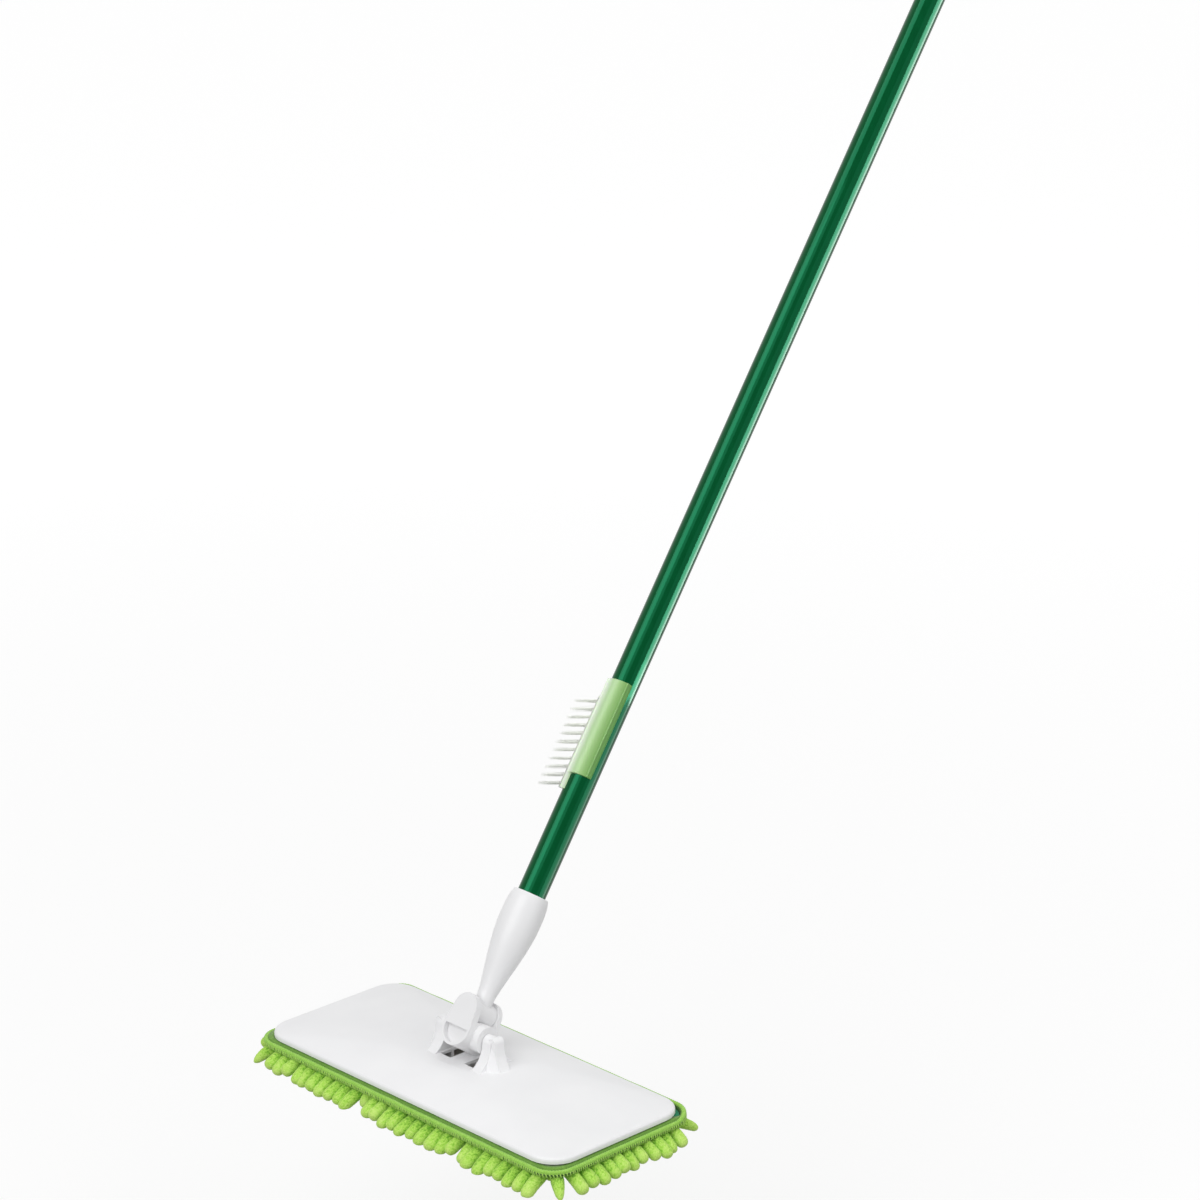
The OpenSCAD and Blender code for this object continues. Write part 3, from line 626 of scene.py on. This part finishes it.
def chenille_bed():
    piece = Piece()
    piece.add(*slab(PAD_X, PAD_Y, PAD_CORNER, CLOTH_BOTTOM, CLOTH_TOP, CLOTH_EDGE))
    faces = tube_faces(sum(TUFT_ROWS), TUFT_COLS)
    models = [pile_heights(seed, TUFT_MODEL_LENGTH, TUFT_R, TUFT_ROWS, TUFT_COLS) for seed in TUFT_SEEDS]
    rows = int(2 * (PAD_Y - TUFT_MARGIN) / TUFT_PITCH / TUFT_ROW_SHARE)
    cols = int(2 * (PAD_X - TUFT_MARGIN) / TUFT_PITCH)
    for i in range(rows):
        shift = TUFT_SHIFT if i % 2 else -TUFT_SHIFT
        for j in range(cols):
            x = (j - (cols - 1) / 2 + shift) * TUFT_PITCH
            y = (i - (rows - 1) / 2) * TUFT_PITCH * TUFT_ROW_SHARE
            x += rng.normal(0, TUFT_PLACE_SPREAD)
            y += rng.normal(0, TUFT_PLACE_SPREAD)
            root = np.array([x, y, CLOTH_BOTTOM + TUFT_SINK])
            length = rng.normal(TUFT_LENGTH, TUFT_LENGTH_SPREAD)
            slope = rng.normal(TUFT_SLOPE, TUFT_SLOPE_SPREAD)
            yaw = rng.uniform(0, 2 * np.pi)
            model = models[rng.integers(len(models))]
            verts, values = finger(root, yaw, length, TUFT_R, (slope, slope), 0, model, TUFT_ROWS)
            # The tufts' loop heights become painted shade in their valleys.
            piece.add(verts, faces, values)
    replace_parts(piece.build("chenille_tufts", LIME, "head", "chenille"), "chenille_bed")


# The hand brush's bristles

STRANDS_A_TUFT = 8
STRAND_R, STRAND_TIP_SHARE = 0.18, 0.2
STRAND_ROWS, STRAND_SIDES = 6, 5
STRAND_RISE_SPREAD, STRAND_SIDE_SPREAD = 0.6, 0.45
STRAND_LENGTH_SHARE, STRAND_LENGTH_SPREAD = 0.92, 0.07
BRISTLE_SWEEP, SWEEP_SPREAD, SWEEP_SPLAY = 24, 1.5, 4
FAN_STEP, FAN_SPREAD = 3, 3
TUFT_LINES, TUFT_FILES = 11, 4
TUFT_FILE_PITCH = 2.5
STRIP_HALF, STRIP_SIDES = 0.4, 12
STRIP_MARGIN = 3.4
STRIP_SLICE = 0.5
ROOT_DEPTH = 0.3


def brush_matrix():
    """The brush's own axes: x out of the clip's back, z along the handle, from the handle's tilt axis."""
    axes = Matrix((SIDE_AXIS, FORK_AXIS, HANDLE_AXIS)).transposed().to_4x4()
    return Matrix.Translation(TILT) @ axes @ Matrix.Rotation(BRUSH_TURN, 4, "Z")


def strand(root, reach, fan_turn, rise):
    """A thin filament that sweeps down the handle from its root."""
    t = np.linspace(0, 1, STRAND_ROWS)
    sweep = np.radians(BRISTLE_SWEEP + rng.normal(0, SWEEP_SPREAD) + SWEEP_SPLAY * rise * t)
    fan = np.radians(fan_turn + rng.normal(0, FAN_SPREAD))
    ahead = np.column_stack([
        np.cos(sweep) * math.cos(fan), np.cos(sweep) * math.sin(fan), -np.sin(sweep)])
    length = reach * min(1, rng.normal(STRAND_LENGTH_SHARE, STRAND_LENGTH_SPREAD))
    root = root + np.array([0, rng.normal(0, STRAND_SIDE_SPREAD), rise])
    centres = root + (np.cumsum(ahead, axis=0) - ahead) * length / (STRAND_ROWS - 1)
    side = np.column_stack([-ahead[:, 1], ahead[:, 0], np.zeros(STRAND_ROWS)])
    side /= np.linalg.norm(side, axis=1, keepdims=True)
    radii = STRAND_R * (1 - (1 - STRAND_TIP_SHARE) * t ** 2)
    return tube(centres, side, np.cross(ahead, side), np.repeat(radii[:, None], STRAND_SIDES, 1))


def bristles():
    matrix = brush_matrix()
    turn, shift = np.array(matrix.to_3x3()), np.array(matrix.translation)
    node = frame["nodes"]["brush_bristles"]
    solid = (np.array([v.co for v in node.data.vertices]) / MM - shift) @ turn
    base, tip = solid[:, 0].min(), solid[:, 0].max()
    strip = solid[solid[:, 0] < base + STRIP_SLICE]
    low, high = strip[:, 2].min(), strip[:, 2].max()
    half = strip[:, 1].max()
    reach = (tip - base) / math.cos(math.radians(BRISTLE_SWEEP))

    piece = Piece()
    ends = np.array([[base + STRIP_HALF, 0, low], [base + STRIP_HALF, 0, high]])
    side = np.array([[STRIP_HALF, 0, 0]] * 2)
    up = np.array([[0, half, 0]] * 2)
    piece.add(tube(ends, side, up, np.ones((2, STRIP_SIDES))) @ turn.T + shift, tube_faces(2, STRIP_SIDES))

    faces = tube_faces(STRAND_ROWS, STRAND_SIDES)
    for line in range(TUFT_LINES):
        for file in range(TUFT_FILES):
            off_centre = file - (TUFT_FILES - 1) / 2
            z = low + STRIP_MARGIN + line * (high - low - 2 * STRIP_MARGIN) / (TUFT_LINES - 1)
            root = np.array([base + ROOT_DEPTH, off_centre * TUFT_FILE_PITCH, z])
            for _ in range(STRANDS_A_TUFT):
                rise = rng.normal(0, STRAND_RISE_SPREAD)
                verts = strand(root, reach, FAN_STEP * off_centre, rise)
                piece.add(verts @ turn.T + shift, faces)
    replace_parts(piece.build("brush_strands", BRISTLE, "brush", "bristle"), "brush_bristles")


pad_layers()
binding()
fingers()
chenille_bed()
bristles()


# Floor, light and camera, in metres

FLOOR_SIZE = 30
FLOOR_Z = -0.2
FLOOR_LIFT_NEAR, FLOOR_LIFT_FAR = 0.65, 0.79
LIT_FROM, LIT_TO = 0.4, 2.8
AMBIENT = 0.5
SURROUND_SEEN = 0.97
LAMP_TARGET = Vector((0, 0.2, 0.3))
CAMERA_YAW = math.radians(-45.696)
CAMERA_DOWN = math.radians(17.747)
CAMERA_AT = Vector((1.8241, -1.6447, 1.1752))
CAMERA_LENS, CAMERA_SENSOR = 108, 36
CAMERA_REACH = 100
LOOK = Vector((math.sin(CAMERA_YAW) * math.cos(CAMERA_DOWN), math.cos(CAMERA_YAW) * math.cos(CAMERA_DOWN),
               -math.sin(CAMERA_DOWN)))
RIGHT = Vector((math.cos(CAMERA_YAW), -math.sin(CAMERA_YAW), 0))


def seen(holder):
    """1 for a ray from the camera, off a mirror or through glass, and 0 for one that only lights."""
    path = add(holder, "LightPath")
    rays = [path.outputs[name] for name in ("Is Camera Ray", "Is Glossy Ray", "Is Transmission Ray")]
    value = rays[0]
    for ray in rays[1:]:
        either = add(holder, "Math", operation="MAXIMUM")
        join(holder, value, either.inputs[0])
        join(holder, ray, either.inputs[1])
        value = either.outputs[0]
    return value


def floor_finish():
    """White to the camera, and lifted less near the mop, to keep its soft shadow in the lamps' light."""
    finish = new_finish("floor_white", {
        "Base Color": (0.36, 0.36, 0.36, 1), "Roughness": 0.9, "Specular IOR Level": 0.1,
        "Emission Color": (1, 1, 1, 1)})
    away = add(finish, "VectorMath", operation="LENGTH")
    join(finish, add(finish, "TexCoord").outputs["Object"], away.inputs[0])
    level = add(finish, "MapRange", From_Min=LIT_FROM, From_Max=LIT_TO,
                To_Min=FLOOR_LIFT_NEAR, To_Max=FLOOR_LIFT_FAR)
    join(finish, away.outputs["Value"], level.inputs["Value"])
    lift = add(finish, "Math", operation="MULTIPLY")
    join(finish, level.outputs[0], lift.inputs[1])
    join(finish, seen(finish), lift.inputs[0])
    join(finish, lift.outputs[0], shader(finish).inputs["Emission Strength"])
    return finish


def white_floor():
    """A floor low enough for the head to turn over it while the handle is held."""
    mesh = bpy.data.meshes.new("floor")
    half = FLOOR_SIZE / 2
    corners = ((-half, -half), (half, -half), (half, half), (-half, half))
    mesh.from_pydata([(x, y, FLOOR_Z) for x, y in corners], [], [(0, 1, 2, 3)])
    mesh.materials.append(floor_finish())
    floor = bpy.data.objects.new("floor", mesh)
    bpy.context.scene.collection.objects.link(floor)


def surround():
    """An even soft light, seen as white by the camera and in reflections."""
    world = bpy.data.worlds.new("surround")
    bpy.context.scene.world = world
    world.use_nodes = True
    strength = add(world, "MapRange", To_Min=AMBIENT, To_Max=SURROUND_SEEN)
    join(world, seen(world), strength.inputs["Value"])
    background = world.node_tree.nodes["Background"]
    background.inputs["Color"].default_value = (1, 1, 1, 1)
    join(world, strength.outputs[0], background.inputs["Strength"])


def area_lamp(name, size_x, size_y, radiance):
    """A rectangular area light, as bright to look at as radiance says, whatever its size."""
    data = bpy.data.lights.new(name, "AREA")
    data.shape = "RECTANGLE"
    data.size, data.size_y = size_x, size_y
    data.energy = radiance * math.pi * size_x * size_y
    lamp = bpy.data.objects.new(name, data)
    bpy.context.scene.collection.objects.link(lamp)
    return lamp


def softbox(name, direction, distance, size, radiance):
    """A square lamp that looks at the swivel from a direction."""
    lamp = area_lamp(name, size, size, radiance)
    lamp.location = LAMP_TARGET + Vector(direction).normalized() * distance
    lamp.rotation_euler = (LAMP_TARGET - lamp.location).to_track_quat("-Z", "Y").to_euler()


def gloss_card(name, turn, spread, distance, low, high, radiance, nodes):
    """A long lamp beside the handle that shows only in the gloss of nodes, as a lit card does in a studio.

    Turn is its place round the handle, in degrees from the camera's side to the right, and spread half the
    angle that it fills. Low and high are its ends along the handle.
    """
    near = -(LOOK - HANDLE_AXIS * LOOK.dot(HANDLE_AXIS)).normalized()
    right = HANDLE_AXIS.cross(near)
    away = near * math.cos(math.radians(turn)) + right * math.sin(math.radians(turn))
    lamp = area_lamp(name, 2 * distance * math.tan(math.radians(spread)), high - low, radiance)
    axes = Matrix((HANDLE_AXIS.cross(away), HANDLE_AXIS, away)).transposed().to_4x4()
    middle = TILT * MM + HANDLE_AXIS * (low + high) / 2
    lamp.matrix_world = Matrix.Translation(middle + away * distance) @ axes
    lamp.visible_camera = lamp.visible_diffuse = False
    shown = bpy.data.collections.new(name)
    for node in nodes:
        shown.objects.link(frame["nodes"][node])
    lamp.light_linking.receiver_collection = shown


def camera():
    data = bpy.data.cameras.new("camera")
    data.lens = CAMERA_LENS
    data.sensor_width = CAMERA_SENSOR
    data.clip_end = CAMERA_REACH
    view = bpy.data.objects.new("camera", data)
    bpy.context.scene.collection.objects.link(view)
    axes = Matrix((RIGHT, RIGHT.cross(LOOK), -LOOK)).transposed().to_4x4()
    view.matrix_world = Matrix.Translation(CAMERA_AT) @ axes
    bpy.context.scene.camera = view


white_floor()
surround()
softbox("key", direction=(0.1, -0.82, 0.56), distance=2.2, size=1.9, radiance=2.2)
softbox("fill", direction=(0.95, 0.15, 0.3), distance=2.2, size=1.8, radiance=0.85)
softbox("top", direction=(0.3, 0.3, 1), distance=2.6, size=2.0, radiance=1.1)
gloss_card("left_card", turn=-54, spread=19, distance=1.0, low=0.1, high=1.9, radiance=5,
           nodes=("handle_tube", "brush_clip"))
gloss_card("right_card", turn=88, spread=26, distance=0.8, low=0.36, high=1.9, radiance=13,
           nodes=("handle_tube",))
gloss_card("low_card", turn=84, spread=28, distance=0.45, low=-0.1, high=0.36, radiance=4,
           nodes=("handle_tube",))
camera()
bpy.context.scene.view_settings.view_transform = "Standard"
